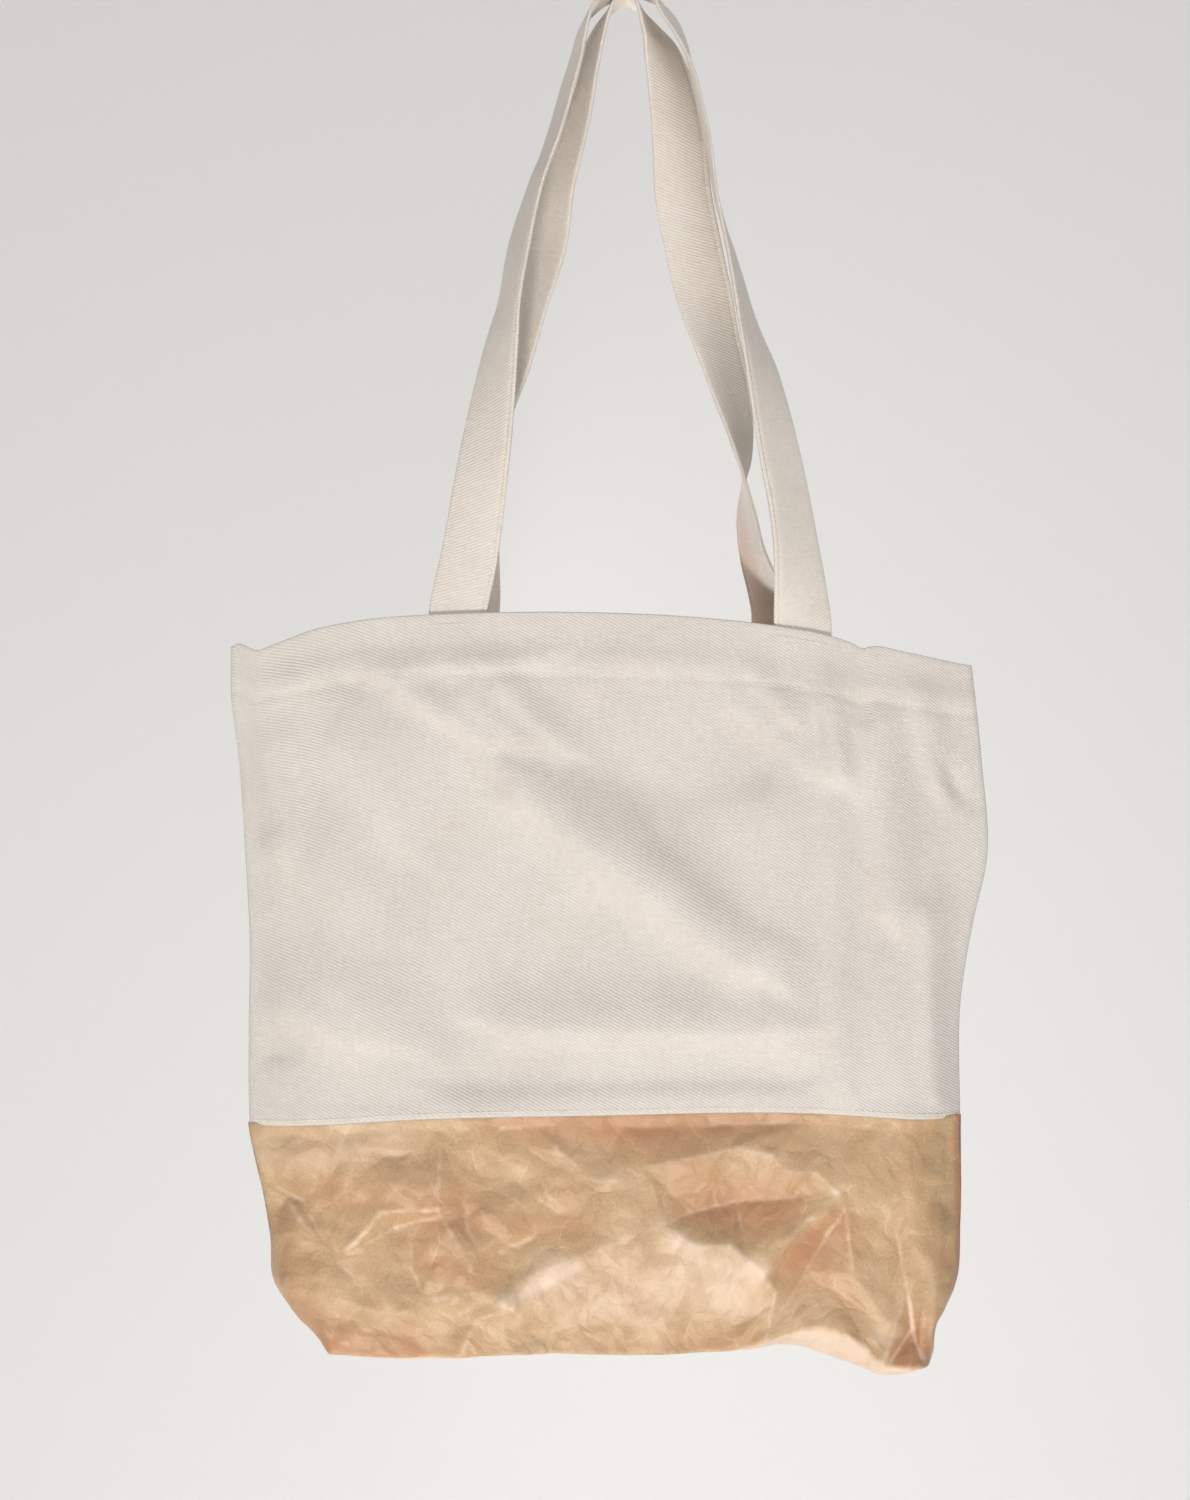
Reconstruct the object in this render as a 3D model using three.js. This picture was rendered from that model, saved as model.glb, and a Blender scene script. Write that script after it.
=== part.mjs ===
// A canvas tote bag with a kraft-paper bottom, hanging empty by both of its handles.
//
// Millimetres, +Z up, X across the bag, -Y towards its front. The origin is the hang point: the
// underside of the inner (back) handle at the top of its arch, where a hook or a nail carries it.
//
// The walls are thin sheets. A place on a wall is given by its column, counted out from the middle
// of the bag, by its drop below the hem edge, and by how far it lies inside the outer canvas layer.
import * as THREE from 'three';

// Overall sizes of the hanging bag.
const bagWidth = 376;
const footWidth = 312;
const canvasHeight = 250;
const kraftHeight = 121;
const mouthDepth = 30;
const baseDepth = 57;
const cornerRise = 28;
const cornerDraw = 17;
const cornerDroop = 20;

// Cloth, paper and seams.
const canvasThickness = 0.8;
const kraftThickness = 0.6;
const hemDepth = 26;
const joinOverlap = 10;
const seamWidth = 10;
const seamThickness = 1.2;
const endFold = 9;
// Layers of paper that are folded into each end of the base.
const cornerLayers = 4;

// Handles.
const strapWidth = 29;
const strapThickness = 2.2;
const strapSpacing = 174;
const handleRise = 313;
const strapOffset = 4;
const flatMargin = 3;
// Each leg of a loop stays flat this far above the hem, and makes most of its turn low down.
const flatFoot = 10;
const twistEarliness = 1.6;

// Stitching.
const threadSize = 0.5;
const hemStitchInset = 3;
const joinStitchInset = 2.5;
const edgeStitchInset = 2.5;
const rootStitchDrop = 5;

// The gap between pieces that touch.
const clearance = 0.3;

// Sizes that follow from the ones above.
const wallHeight = canvasHeight + kraftHeight;
const hemTop = -handleRise;
const flapInset = canvasThickness + clearance;
const foldRadius = flapInset / 2;
const kraftInset = (canvasThickness + kraftThickness) / 2 + clearance;
const sideGap = seamThickness / 2 + clearance + canvasThickness / 2 + flapInset;
const mouthHalf = (mouthDepth - canvasThickness) / 2;
const baseHalf = (baseDepth - kraftThickness) / 2 + kraftInset;
const strapHalf = strapSpacing / 2;
const hemFlatHalf = strapHalf + strapWidth / 2 + flatMargin;
const foldZ = hemTop - foldRadius - canvasThickness / 2;
const strapInset = flapInset + canvasThickness / 2 + clearance + strapThickness / 2;
const strapY = mouthHalf - strapInset;
const threadLift = -(canvasThickness / 2 + clearance + threadSize / 2);

// Mesh density.
const flatColumns = 5;
const wingColumns = 4;
const lastColumn = flatColumns + wingColumns;
const handleSteps = 56;
const hemRows = 3;
const wallRows = 12;
const kraftRows = 5;
const baseRows = 7;
const seamRows = 12;

// Handle arches, as shares of the distance from the middle to the foot and of the rise.
const outerArch = [[1, 0], [0.8, 0.32], [0.6, 0.6], [0.43, 0.8], [0.24, 0.95], [0, 1]];
const innerArch = [[1, 0], [0.7, 0.32], [0.46, 0.6], [0.31, 0.8], [0.15, 0.95], [0, 1]];

const canvas = { color: 0xe4dbd0, roughness: 0.92, metalness: 0 };
const strapCanvas = { color: 0xd9cfc2, roughness: 0.92, metalness: 0 };
const kraft = { color: 0xcfab80, roughness: 0.8, metalness: 0 };
const thread = { color: 0xf0ebe2, roughness: 0.7, metalness: 0 };

const bag = new THREE.Group();

function mix(from, to, share) {
  return from + (to - from) * share;
}

function ease(share) {
  const t = Math.min(1, Math.max(0, share));
  return t * t * (3 - 2 * t);
}

// Puts one named closed body into the bag. Faces are lists of three or four vertex numbers.
function addSolid(name, vertices, faces, finish) {
  const index = [];
  for (const [a, b, c, d] of faces) {
    index.push(a, b, c);
    if (d !== undefined) index.push(a, c, d);
  }
  let volume = 0;
  for (let i = 0; i < index.length; i += 3) {
    const [a, b, c] = [0, 1, 2].map((k) => vertices[index[i + k]]);
    volume += a.dot(new THREE.Vector3().crossVectors(b, c));
  }
  if (volume < 0) index.reverse();
  const geometry = new THREE.BufferGeometry().setFromPoints(vertices);
  geometry.setIndex(index);
  geometry.computeVertexNormals();
  const mesh = new THREE.Mesh(geometry, new THREE.MeshStandardMaterial(finish));
  mesh.name = name;
  bag.add(mesh);
}

// ---- the hanging wall --------------------------------------------------------------------------

// Half the bag's width: it narrows down to the boxed corners, which then draw in to the base.
function halfWidth(drop) {
  const shoulder = footWidth / 2 + cornerDraw;
  const aboveCorner = wallHeight - cornerRise;
  if (drop > aboveCorner) {
    return mix(shoulder, footWidth / 2, (drop - aboveCorner) / cornerRise);
  }
  return mix(bagWidth / 2, shoulder, ease(drop / aboveCorner));
}

// Half the width of the flat middle of the wall, between the curved wings at the sides.
function flatHalf(drop) {
  return mix(hemFlatHalf, footWidth / 2 - endFold, ease((drop - hemDepth) / (wallHeight - hemDepth)));
}

// Distance of the flat middle from the bag's middle plane.
function halfDepth(drop) {
  return mix(mouthHalf, baseHalf, ease((drop - hemDepth) / (wallHeight - hemDepth)));
}

// A point of the wall. The side is -1 for the front wall and 1 for the back wall.
function wallPoint(side, column, drop, inset) {
  const outward = Math.sign(column);
  const steps = Math.abs(column);
  const wing = Math.max(0, (steps - flatColumns) / wingColumns);
  const flat = flatHalf(drop);
  const across = steps <= flatColumns
    ? flat * steps / flatColumns
    : mix(flat, halfWidth(drop) - inset, wing);
  const depth = sideGap + (halfDepth(drop) - sideGap) * (1 - wing * wing) - inset;
  const droop = cornerDroop * wing * wing * (1 - drop / wallHeight);
  return new THREE.Vector3(outward * across, side * depth, hemTop - drop - droop);
}

// Turns a sheet of four-sided cells, given by its middle surface, into a closed body.
function thicken(points, cells, thickness) {
  const normals = points.map(() => new THREE.Vector3());
  const edges = new Map();
  for (const cell of cells) {
    const [a, b, c, d] = cell.map((k) => points[k]);
    const normal = new THREE.Vector3().subVectors(c, a);
    normal.cross(new THREE.Vector3().subVectors(d, b)).normalize();
    cell.forEach((k, i) => {
      normals[k].add(normal);
      edges.set(`${k} ${cell[(i + 1) % 4]}`, [k, cell[(i + 1) % 4]]);
    });
  }
  normals.forEach((normal) => normal.setLength(thickness / 2));
  const outer = points.map((point, i) => point.clone().add(normals[i]));
  const inner = points.map((point, i) => point.clone().sub(normals[i]));
  const n = points.length;
  const faces = [];
  for (const [a, b, c, d] of cells) {
    faces.push([a, b, c, d], [n + d, n + c, n + b, n + a]);
  }
  for (const [a, b] of edges.values()) {
    if (!edges.has(`${b} ${a}`)) faces.push([b, a, n + a, n + b]);
  }
  return [[...outer, ...inner], faces];
}

// The cells between the rows of a regular sheet, for the columns from first to last.
function gridCells(rows, columns, first, last) {
  const cells = [];
  for (let row = 0; row + 1 < rows; row += 1) {
    for (let column = first; column < last; column += 1) {
      const a = row * columns + column;
      cells.push([a, a + 1, a + columns + 1, a + columns]);
    }
  }
  return cells;
}

function wallRow(side, drop, inset) {
  const row = [];
  for (let column = -lastColumn; column <= lastColumn; column += 1) {
    row.push(wallPoint(side, column, drop, inset));
  }
  return row;
}

function spread(from, to, count) {
  return Array.from({ length: count }, (_, i) => mix(from, to, i / (count - 1)));
}

// A canvas wall with its top edge turned down inside as the hem, and its lower edge over the kraft.
function addCanvasPanel(name, side) {
  const top = foldRadius + canvasThickness / 2;
  const rows = [];
  for (const drop of spread(hemDepth, top, hemRows)) rows.push(wallRow(side, drop, flapInset));
  for (const turn of [0.25, 0.5, 0.75]) {
    const angle = Math.PI * turn;
    const inset = foldRadius * (1 + Math.cos(angle));
    rows.push(wallRow(side, top - foldRadius * Math.sin(angle), inset));
  }
  for (const drop of [top, ...spread(hemDepth / 2, canvasHeight, wallRows)]) {
    rows.push(wallRow(side, drop, 0));
  }
  const columns = 2 * lastColumn + 1;
  const cells = gridCells(rows.length, columns, 0, columns - 1);
  addSolid(name, ...thicken(rows.flat(), cells, canvasThickness), canvas);
}

// ---- the kraft bottom --------------------------------------------------------------------------

// One sheet of washable kraft paper: down the front, creased under the base and up the back. Its
// side wings close the ends of the box, and are sewn to the ends of the base.
function addKraftBottom() {
  const columns = 2 * lastColumn + 1;
  const drops = [...spread(canvasHeight - joinOverlap, wallHeight - cornerRise, kraftRows),
    ...spread(wallHeight - cornerRise / 2, wallHeight, 2)];
  const wall = (side) => drops.map((drop) => wallRow(side, drop, kraftInset));
  const front = wall(-1);
  const back = wall(1).reverse();
  for (const edge of [front.at(-1), back[0]]) {
    edge.forEach((point, i) => {
      if (Math.abs(i - lastColumn) > flatColumns) point.z += kraftThickness + clearance;
    });
  }
  const base = spread(-1, 1, baseRows).slice(1, -1).map((share) => baseRow(share));
  const rows = [...front, ...base, ...back];
  const first = wingColumns;
  const last = columns - 1 - wingColumns;
  const cells = [
    ...gridCells(front.length, columns, 0, columns - 1),
    ...shift(gridCells(base.length + 2, columns, first, last), (front.length - 1) * columns),
    ...shift(gridCells(back.length, columns, 0, columns - 1), (front.length + base.length) * columns),
  ];
  const [points, used] = compact(rows.flat(), cells);
  addSolid('kraft_bottom', ...thicken(points, used, kraftThickness), kraft);
}

// A row of the flat base, from its left end to its right end, at a share of its half depth.
function baseRow(share) {
  const depth = halfDepth(wallHeight) - kraftInset;
  const reach = mix(flatHalf(wallHeight), footWidth / 2 - kraftInset, 1 - share * share);
  const end = reach - kraftThickness / 2 - clearance;
  const row = [];
  for (let column = -lastColumn; column <= lastColumn; column += 1) {
    row.push(new THREE.Vector3(end * column / flatColumns, share * depth, hemTop - wallHeight));
  }
  return row;
}

function shift(cells, amount) {
  return cells.map((cell) => cell.map((k) => k + amount));
}

// Keeps only the points that the cells use.
function compact(points, cells) {
  const kept = [...new Set(cells.flat())];
  const place = new Map(kept.map((k, i) => [k, i]));
  return [kept.map((k) => points[k]), cells.map((cell) => cell.map((k) => place.get(k)))];
}

// ---- seams -------------------------------------------------------------------------------------

// A strip with a rectangular section that follows a row of frames from end to end. Each frame has a
// point, the direction across the strip and the direction out of its face.
function addStrip(name, frames, width, thickness, finish) {
  const corners = [[-1, -1], [1, -1], [1, 1], [-1, 1]];
  const vertices = [];
  for (const { point, across, out } of frames) {
    for (const [i, j] of corners) {
      const corner = point.clone().addScaledVector(across, i * width / 2);
      vertices.push(corner.addScaledVector(out, j * thickness / 2));
    }
  }
  const faces = [[0, 1, 2, 3]];
  for (let ring = 0; ring + 1 < frames.length; ring += 1) {
    for (let k = 0; k < 4; k += 1) {
      const a = 4 * ring + k;
      const b = 4 * ring + (k + 1) % 4;
      faces.push([b, a, a + 4, b + 4]);
    }
  }
  const last = 4 * (frames.length - 1);
  faces.push([last + 3, last + 2, last + 1, last]);
  addSolid(name, vertices, faces, finish);
}

// The two walls' edges, sewn together and overlocked, standing inwards all down one side.
function addSideSeam(name, outward) {
  const end = wallHeight - cornerRise / 2;
  const frames = spread(rootStitchDrop, end, seamRows).map((drop) => {
    const edge = wallPoint(1, outward * lastColumn, drop, 0);
    const x = edge.x - outward * (sideGap + seamWidth / 2);
    return {
      point: new THREE.Vector3(x, 0, edge.z),
      across: new THREE.Vector3(1, 0, 0),
      out: new THREE.Vector3(0, 1, 0),
    };
  });
  addStrip(name, frames, seamWidth, seamThickness, canvas);
}

// The seam that closes a boxed corner: it lies across the end of the base, its edges turned inwards.
function addCornerSeam(name, outward) {
  const foot = wallPoint(1, flatColumns, wallHeight, kraftInset);
  const tip = wallPoint(1, lastColumn, wallHeight, kraftInset);
  const height = Math.min(seamWidth, cornerRise / 2) - cornerLayers * clearance;
  const inside = cornerLayers * kraftThickness + seamThickness + clearance;
  const plan = new THREE.Shape([
    new THREE.Vector2(foot.x - inside, foot.y - inside),
    new THREE.Vector2(tip.x - inside, 0),
    new THREE.Vector2(foot.x - inside, inside - foot.y),
    new THREE.Vector2(foot.x - inside - seamThickness, inside - foot.y),
    new THREE.Vector2(tip.x - inside - seamThickness, 0),
    new THREE.Vector2(foot.x - inside - seamThickness, foot.y - inside),
  ]);
  const geometry = new THREE.ExtrudeGeometry(plan, { depth: height, bevelEnabled: false });
  const mesh = new THREE.Mesh(geometry, new THREE.MeshStandardMaterial(kraft));
  mesh.name = name;
  mesh.rotation.z = outward > 0 ? 0 : Math.PI;
  mesh.position.z = foot.z + kraftThickness / 2 + clearance;
  bag.add(mesh);
}

// ---- stitching on the walls --------------------------------------------------------------------

// A row of stitches across one wall, lying on the outer face of the canvas.
function addWallStitches(name, side, drop) {
  const frames = [];
  for (let column = 1 - lastColumn; column < lastColumn; column += 1) {
    frames.push({
      point: wallPoint(side, column, drop, threadLift),
      across: new THREE.Vector3(0, 0, 1),
      out: new THREE.Vector3(0, side, 0),
    });
  }
  addStrip(name, frames, threadSize, threadSize, thread);
}

// The short row through the hem that holds one end of a handle.
function addRootStitches(name, side, outward) {
  const y = side * (mouthHalf - threadLift);
  const half = (strapWidth - 2 * edgeStitchInset) / 2;
  const frames = [-half, half].map((x) => ({
    point: new THREE.Vector3(outward * strapHalf + x, y, hemTop - rootStitchDrop),
    across: new THREE.Vector3(0, 0, 1),
    out: new THREE.Vector3(0, side, 0),
  }));
  addStrip(name, frames, threadSize, threadSize, thread);
}

// ---- handles -----------------------------------------------------------------------------------

// The sewn end of a handle, flat on the inside of the hem, up to the line where the handle folds.
function addHandleEnd(name, side, outward) {
  const x = outward * strapHalf;
  const lowest = hemTop - hemDepth + hemStitchInset / 2;
  const frames = [lowest, foldZ - clearance].map((z) => ({
    point: new THREE.Vector3(x, side * strapY, z),
    across: new THREE.Vector3(1, 0, 0),
    out: new THREE.Vector3(0, side, 0),
  }));
  addStrip(name, frames, strapWidth, strapThickness, strapCanvas);
}

// The free loop of a handle. It stands flat against the hem at both feet and makes a quarter turn in
// each leg, so that its width lies front to back over the hook.
function handleFrames(side, arch, lift) {
  const foot = foldZ + clearance;
  const top = lift + strapThickness / 2;
  const place = ([reach, rise], outward) => new THREE.Vector3(
    outward * strapHalf * reach,
    side * mix(strapY, strapOffset, ease(rise)),
    mix(foot, top, rise),
  );
  const left = arch.map((share) => place(share, -1));
  const right = arch.slice(0, -1).map((share) => place(share, 1)).reverse();
  const curve = new THREE.CatmullRomCurve3([...left, ...right], false, 'centripetal');
  return spread(0, 1, handleSteps + 1).map((share) => {
    const point = curve.getPointAt(share);
    const along = curve.getTangentAt(share);
    if (share === 0 || share === 1) along.set(0, 0, share === 0 ? 1 : -1);
    const aboveFlat = (point.z - foot - flatFoot) / (top - foot - flatFoot);
    const turned = Math.min(1, Math.max(0, aboveFlat));
    const quarter = 0.5 * (1 - (1 - turned) ** twistEarliness);
    const angle = Math.PI * (share <= 0.5 ? quarter : 1 - quarter);
    const across = new THREE.Vector3(Math.cos(angle), side * Math.sin(angle), 0);
    across.addScaledVector(along, -across.dot(along)).normalize();
    const out = new THREE.Vector3().crossVectors(along, across).multiplyScalar(side);
    return { point, along, across, out };
  });
}

function addHandle(name, side, arch, lift) {
  const frames = handleFrames(side, arch, lift);
  addStrip(name, frames, strapWidth, strapThickness, strapCanvas);
  const rowOffset = strapWidth / 2 - edgeStitchInset;
  const rowLift = strapThickness / 2 + clearance + threadSize / 2;
  const row = frames.slice(1, -1).map(({ point, across, out }) => ({
    point: point.clone().addScaledVector(across, rowOffset).addScaledVector(out, rowLift),
    across,
    out,
  }));
  addStrip(`${name}_stitches`, row, threadSize, threadSize, thread);
}

// ---- the assembly ------------------------------------------------------------------------------

const walls = { front: -1, back: 1 };
const ends = { left: -1, right: 1 };
const outerLift = strapThickness + 2 * (clearance + threadSize);

for (const [wall, side] of Object.entries(walls)) {
  addCanvasPanel(`${wall}_canvas_panel`, side);
  addWallStitches(`${wall}_hem_stitches`, side, hemDepth - hemStitchInset);
  addWallStitches(`${wall}_join_stitches`, side, canvasHeight - joinStitchInset);
  for (const [end, outward] of Object.entries(ends)) {
    addHandleEnd(`${wall}_${end}_handle_end`, side, outward);
    addRootStitches(`${wall}_${end}_root_stitches`, side, outward);
  }
}
addKraftBottom();
for (const [end, outward] of Object.entries(ends)) {
  addSideSeam(`${end}_side_seam`, outward);
  addCornerSeam(`${end}_corner_seam`, outward);
}
addHandle('front_handle', walls.front, outerArch, outerLift);
addHandle('back_handle', walls.back, innerArch, 0);

export default bag;
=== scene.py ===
"""A canvas tote bag with a boxed bottom of creased kraft paper, hung up by both its handles.

Sizes are in millimetres until a mesh is made. +X runs across the bag to its right, -Y is its front and
+Z is up, with the origin at the point where the handles hang.
"""
import math

import bmesh
import bpy
import numpy as np
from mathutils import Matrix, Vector, geometry


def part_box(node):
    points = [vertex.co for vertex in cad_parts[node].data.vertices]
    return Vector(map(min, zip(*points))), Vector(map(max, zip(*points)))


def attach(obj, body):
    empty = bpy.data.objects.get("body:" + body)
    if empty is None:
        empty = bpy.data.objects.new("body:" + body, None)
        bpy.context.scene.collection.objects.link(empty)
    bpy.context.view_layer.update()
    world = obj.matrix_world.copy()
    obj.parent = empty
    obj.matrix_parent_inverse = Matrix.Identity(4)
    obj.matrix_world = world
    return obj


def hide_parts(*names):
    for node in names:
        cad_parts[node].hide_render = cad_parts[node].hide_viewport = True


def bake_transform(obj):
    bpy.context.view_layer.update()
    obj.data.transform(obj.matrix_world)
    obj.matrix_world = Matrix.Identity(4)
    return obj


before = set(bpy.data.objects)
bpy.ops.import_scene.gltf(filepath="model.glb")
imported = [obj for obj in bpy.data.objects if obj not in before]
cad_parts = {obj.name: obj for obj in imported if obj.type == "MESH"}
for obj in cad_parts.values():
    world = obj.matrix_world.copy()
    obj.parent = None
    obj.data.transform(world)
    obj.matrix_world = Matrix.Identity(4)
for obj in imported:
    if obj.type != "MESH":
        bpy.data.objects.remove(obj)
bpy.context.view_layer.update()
MM = 0.001


# ---- The camera ------------------------------------------------------------------------------------
# It stands level in front of the bag, a little left of the hang point, and takes in the whole height
# from the hang point to well below the base.

FRAME_HEIGHT = 750
LENS = 60
SENSOR = 36
VIEW_X = -15
VIEW_Z = -381

camera = bpy.data.objects.new("camera", bpy.data.cameras.new("camera"))
bpy.context.collection.objects.link(camera)
camera.data.lens = LENS
camera.data.sensor_width = SENSOR
camera.data.clip_end = 30
front_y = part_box("front_hem_stitches")[0].y
camera.location = (VIEW_X * MM, front_y - FRAME_HEIGHT * MM * LENS / SENSOR, VIEW_Z * MM)
camera.rotation_euler = (math.radians(90), 0, 0)
bpy.context.scene.camera = camera
bpy.context.scene.view_settings.view_transform = "Standard"


# ---- The canvas walls ------------------------------------------------------------------------------
# Two panels of unbleached cotton twill, about 0.8 mm thick, hang from the handle roots and curve back to
# the side seams, with drooping corners. The top is turned down inside as the hem, and the lower edge is
# turned under and lies over the kraft paper, whose boxed bottom holds the walls apart.

HEM_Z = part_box("front_canvas_panel")[1].z / MM
FOOT_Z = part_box("kraft_bottom")[0].z / MM
HEM_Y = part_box("front_left_handle_end")[0].y / MM - 1.8
FOOT_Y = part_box("kraft_bottom")[0].y / MM + 1.2
CANVAS_HEIGHT = 250
KRAFT_HEIGHT = HEM_Z - FOOT_Z - CANVAS_HEIGHT
HEM_DEPTH = 26
# How far from the middle each wall stays flat, at the hem and at the foot.
HEM_FLAT = 106
FOOT_FLAT = 146
# Each wall's distance from the middle plane at its side seam, and how deep its folds are drawn.
SEAM_DEPTH = 1.2
FOLD_DEPTH = 1.6

# The side seams, from the hem (0) past the join (1) to the foot (2), as distances from the middle.
LEFT_SEAM = [
    (0, -198.5), (0.1, -198.5), (0.22, -195), (0.45, -191), (0.62, -189), (0.79, -189.5), (1, -189),
    (1.15, -186), (1.31, -182), (1.5, -178.5), (1.78, -175), (1.9, -167), (2, -156),
]
RIGHT_SEAM = [
    (0, 175), (0.21, 180), (0.43, 182.5), (0.56, 176), (0.735, 169.5), (1, 169), (1.44, 169),
    (1.72, 166.5), (1.86, 160), (2, 152.5),
]
# Heights of the hem, the join and the foot across the bag.
HEM_LINE = [
    (-200, -330), (-196, -327.5), (-191, -329), (-187, -331), (-178, -328.5), (-157, -321),
    (-137, -317), (-98, -313.5), (-70, -312.5), (-12, -312.5), (38, -315), (78, -319.5), (102, -324),
    (114, -328), (119, -330.5), (123, -329.5), (140, -332), (175, -338.5), (186, -339.5),
]
JOIN_LINE = [(-190, -570.5), (-112, -565), (-12, -562.5), (92, -561.5), (128, -563.5), (170, -566.5)]
FRONT_FOOT = [
    (-153, -680.5), (-112, -682), (-42, -680.5), (38, -680), (56, -678), (68, -673.5), (82, -668),
    (96, -666), (108, -669), (118, -676), (127, -684), (140, -686.5), (153, -686.5),
]
# Both walls end at the same heights at the sides, where they are sewn together.
BACK_FOOT = [(-153, -680.5), (-80, -683), (0, -682), (90, -683), (153, -686.5)]


def follow(points, at):
    """A smooth line through points, read at the places in at."""
    x, y = np.array(points, float).T
    slope = np.gradient(y, x)
    at = np.clip(at, x[0], x[-1])
    k = np.clip(np.searchsorted(x, at) - 1, 0, len(x) - 2)
    span = x[k + 1] - x[k]
    t = (at - x[k]) / span
    rise = (3 - 2 * t) * t * t
    return (y[k] * (1 - rise) + y[k + 1] * rise
            + span * t * (1 - t) * ((1 - t) * slope[k] - t * slope[k + 1]))


def ease(t):
    t = np.clip(t, 0, 1)
    return t * t * (3 - 2 * t)


def mix(a, b, t):
    return a + (b - a) * t


def ripple(x, y, pitch, seed):
    """Smooth random waves between -1 and 1, about pitch apart."""
    cells = 64
    lattice = np.random.default_rng(seed).uniform(-1, 1, (cells, cells))
    gx, gy = x / pitch + cells / 2, y / pitch + cells / 2
    i, j = np.floor(gx).astype(int), np.floor(gy).astype(int)
    fx, fy = ease(gx - i), ease(gy - j)

    def at(a, b):
        return lattice[a % cells, b % cells]

    return mix(mix(at(i, j), at(i + 1, j), fx), mix(at(i, j + 1), at(i + 1, j + 1), fx), fy)


def soft_folds(folds, x, drop):
    """The height of long soft folds. Each has its two ends, its width and its height, and its upper or
    right side is the gentler one."""
    total = np.zeros_like(x)
    for x0, d0, x1, d1, width, height in folds:
        along = np.array([x1 - x0, d1 - d0], float)
        length = np.hypot(*along)
        t = ((x - x0) * along[0] + (drop - d0) * along[1]) / length ** 2
        off = np.hypot(x - x0 - np.clip(t, 0, 1) * along[0], drop - d0 - np.clip(t, 0, 1) * along[1])
        gentle = ease(0.5 - (along[0] * (drop - d0) - along[1] * (x - x0)) / length / width)
        total += height * np.exp(-((off / width / (1 + gentle)) ** 2))
    return total


# Folds in the canvas: how the front is drawn between its handle roots and the stiff kraft, then a
# looser set for the back.
FRONT_FOLDS = [
    (-76, 40, -52, 62, 8, 2.6), (-50, 90, 56, 172, 13, 5.4), (-58, 205, 72, 208, 10, 3.6),
    (-90, 233, 85, 233, 6, -1.3), (-182, 182, -134, 206, 12, 4.0), (-186, 58, -178, 104, 9, 3.4),
    (-162, 20, -128, 14, 8, 1.6), (74, 90, 78, 205, 10, 2.6), (102, 14, 106, 246, 5, 1.6),
    (124, 46, 134, 140, 8, 2.8), (152, 140, 156, 235, 8, 2.6), (166, 66, 172, 73, 5, -2.6),
    (-90, 116, -84, 196, 22, -3.0), (-30, 76, 30, 84, 20, -2.4), (-196, 92, -190, 94, 6, -2.4),
    (-192, 212, -184, 214, 6, -2.4), (58, 42, 94, 68, 10, 2.0), (-20, 156, -40, 190, 14, -1.8),
    (146, 14, 156, 66, 6, 2.0), (-152, 120, -142, 176, 12, 2.2), (-124, 27, -44, 22, 6, 2.6),
    (-112, 36, -70, 62, 6, 2.2), (-60, 38, -30, 66, 6, 2.0), (64, 22, 80, 44, 5, 1.8),
    (98, 30, 108, 70, 5, 1.8), (-140, 60, -110, 110, 10, 1.8), (20, 110, 66, 150, 12, -1.8),
]
BACK_FOLDS = [
    (-90, 20, -40, 150, 18, 2.6), (90, 20, 50, 160, 18, 2.4), (0, 60, 10, 120, 36, -3.0),
    (-150, 60, -150, 190, 14, -2.2), (140, 80, 150, 200, 14, 2.0), (-80, 200, 80, 215, 12, -1.6),
    (-30, 140, 60, 190, 16, 2.2), (-170, 60, -186, 70, 8, -2.0), (170, 140, 180, 150, 8, -2.0),
]


def seams(s):
    return follow(LEFT_SEAM, s), follow(RIGHT_SEAM, s)


def drop_at(s):
    """Millimetres of wall below the hem edge."""
    return np.where(s < 1, s * CANVAS_HEIGHT, CANVAS_HEIGHT + (s - 1) * KRAFT_HEIGHT)


def wall(side, u, s):
    """Points of the front (side -1) or back (side 1) wall. u runs from the left seam at -1 to the right
    seam at 1, and s from the hem at 0 past the join at 1 to the foot at 2."""
    left, right = seams(s)
    x = mix(left, right, (u + 1) / 2)
    drop = drop_at(s)
    low = ease((drop - HEM_DEPTH) / (CANVAS_HEIGHT + KRAFT_HEIGHT - HEM_DEPTH))
    flat = mix(HEM_FLAT, FOOT_FLAT, low)
    reach = np.where(x > 0, right, -left)
    wing = np.clip((np.abs(x) - flat) / (reach - flat), 0, 1)
    depth = SEAM_DEPTH + (mix(-HEM_Y, -FOOT_Y, low) - SEAM_DEPTH) * (1 - wing ** 2)
    folds = FOLD_DEPTH * soft_folds(FRONT_FOLDS if side < 0 else BACK_FOLDS, x, drop)
    folds += 1.7 * ripple(x, drop, 62, 11 + side) + 0.35 * ripple(x, drop, 19, 21 + side)
    held = ease((drop - 7) / 32) * ease((1 - np.abs(u)) / 0.12) * ease((CANVAS_HEIGHT - drop) / 12)
    depth = depth + folds * held
    foot = follow(FRONT_FOOT if side < 0 else BACK_FOOT, x)
    hem, join = follow(HEM_LINE, x) - (1 + side) * 0.8, follow(JOIN_LINE, x)
    z = np.where(s < 1, mix(hem, join, s), mix(join, foot, s - 1))
    return np.stack([x, side * depth, z], -1)


def layer(side, u, s, inset):
    """A layer of the wall that lies inset millimetres inside its outer layer."""
    step = 0.004
    across = wall(side, u + step, s) - wall(side, u - step, s)
    down = wall(side, u, s + step) - wall(side, u, np.maximum(s - step, 0))
    normal = np.cross(down, across) * -side
    normal /= np.linalg.norm(normal, axis=-1, keepdims=True)
    normal = normal * np.sign(normal[..., 1:2] * side + 1e-9)
    return wall(side, u, s) - normal * np.asarray(inset)[..., None]


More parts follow.
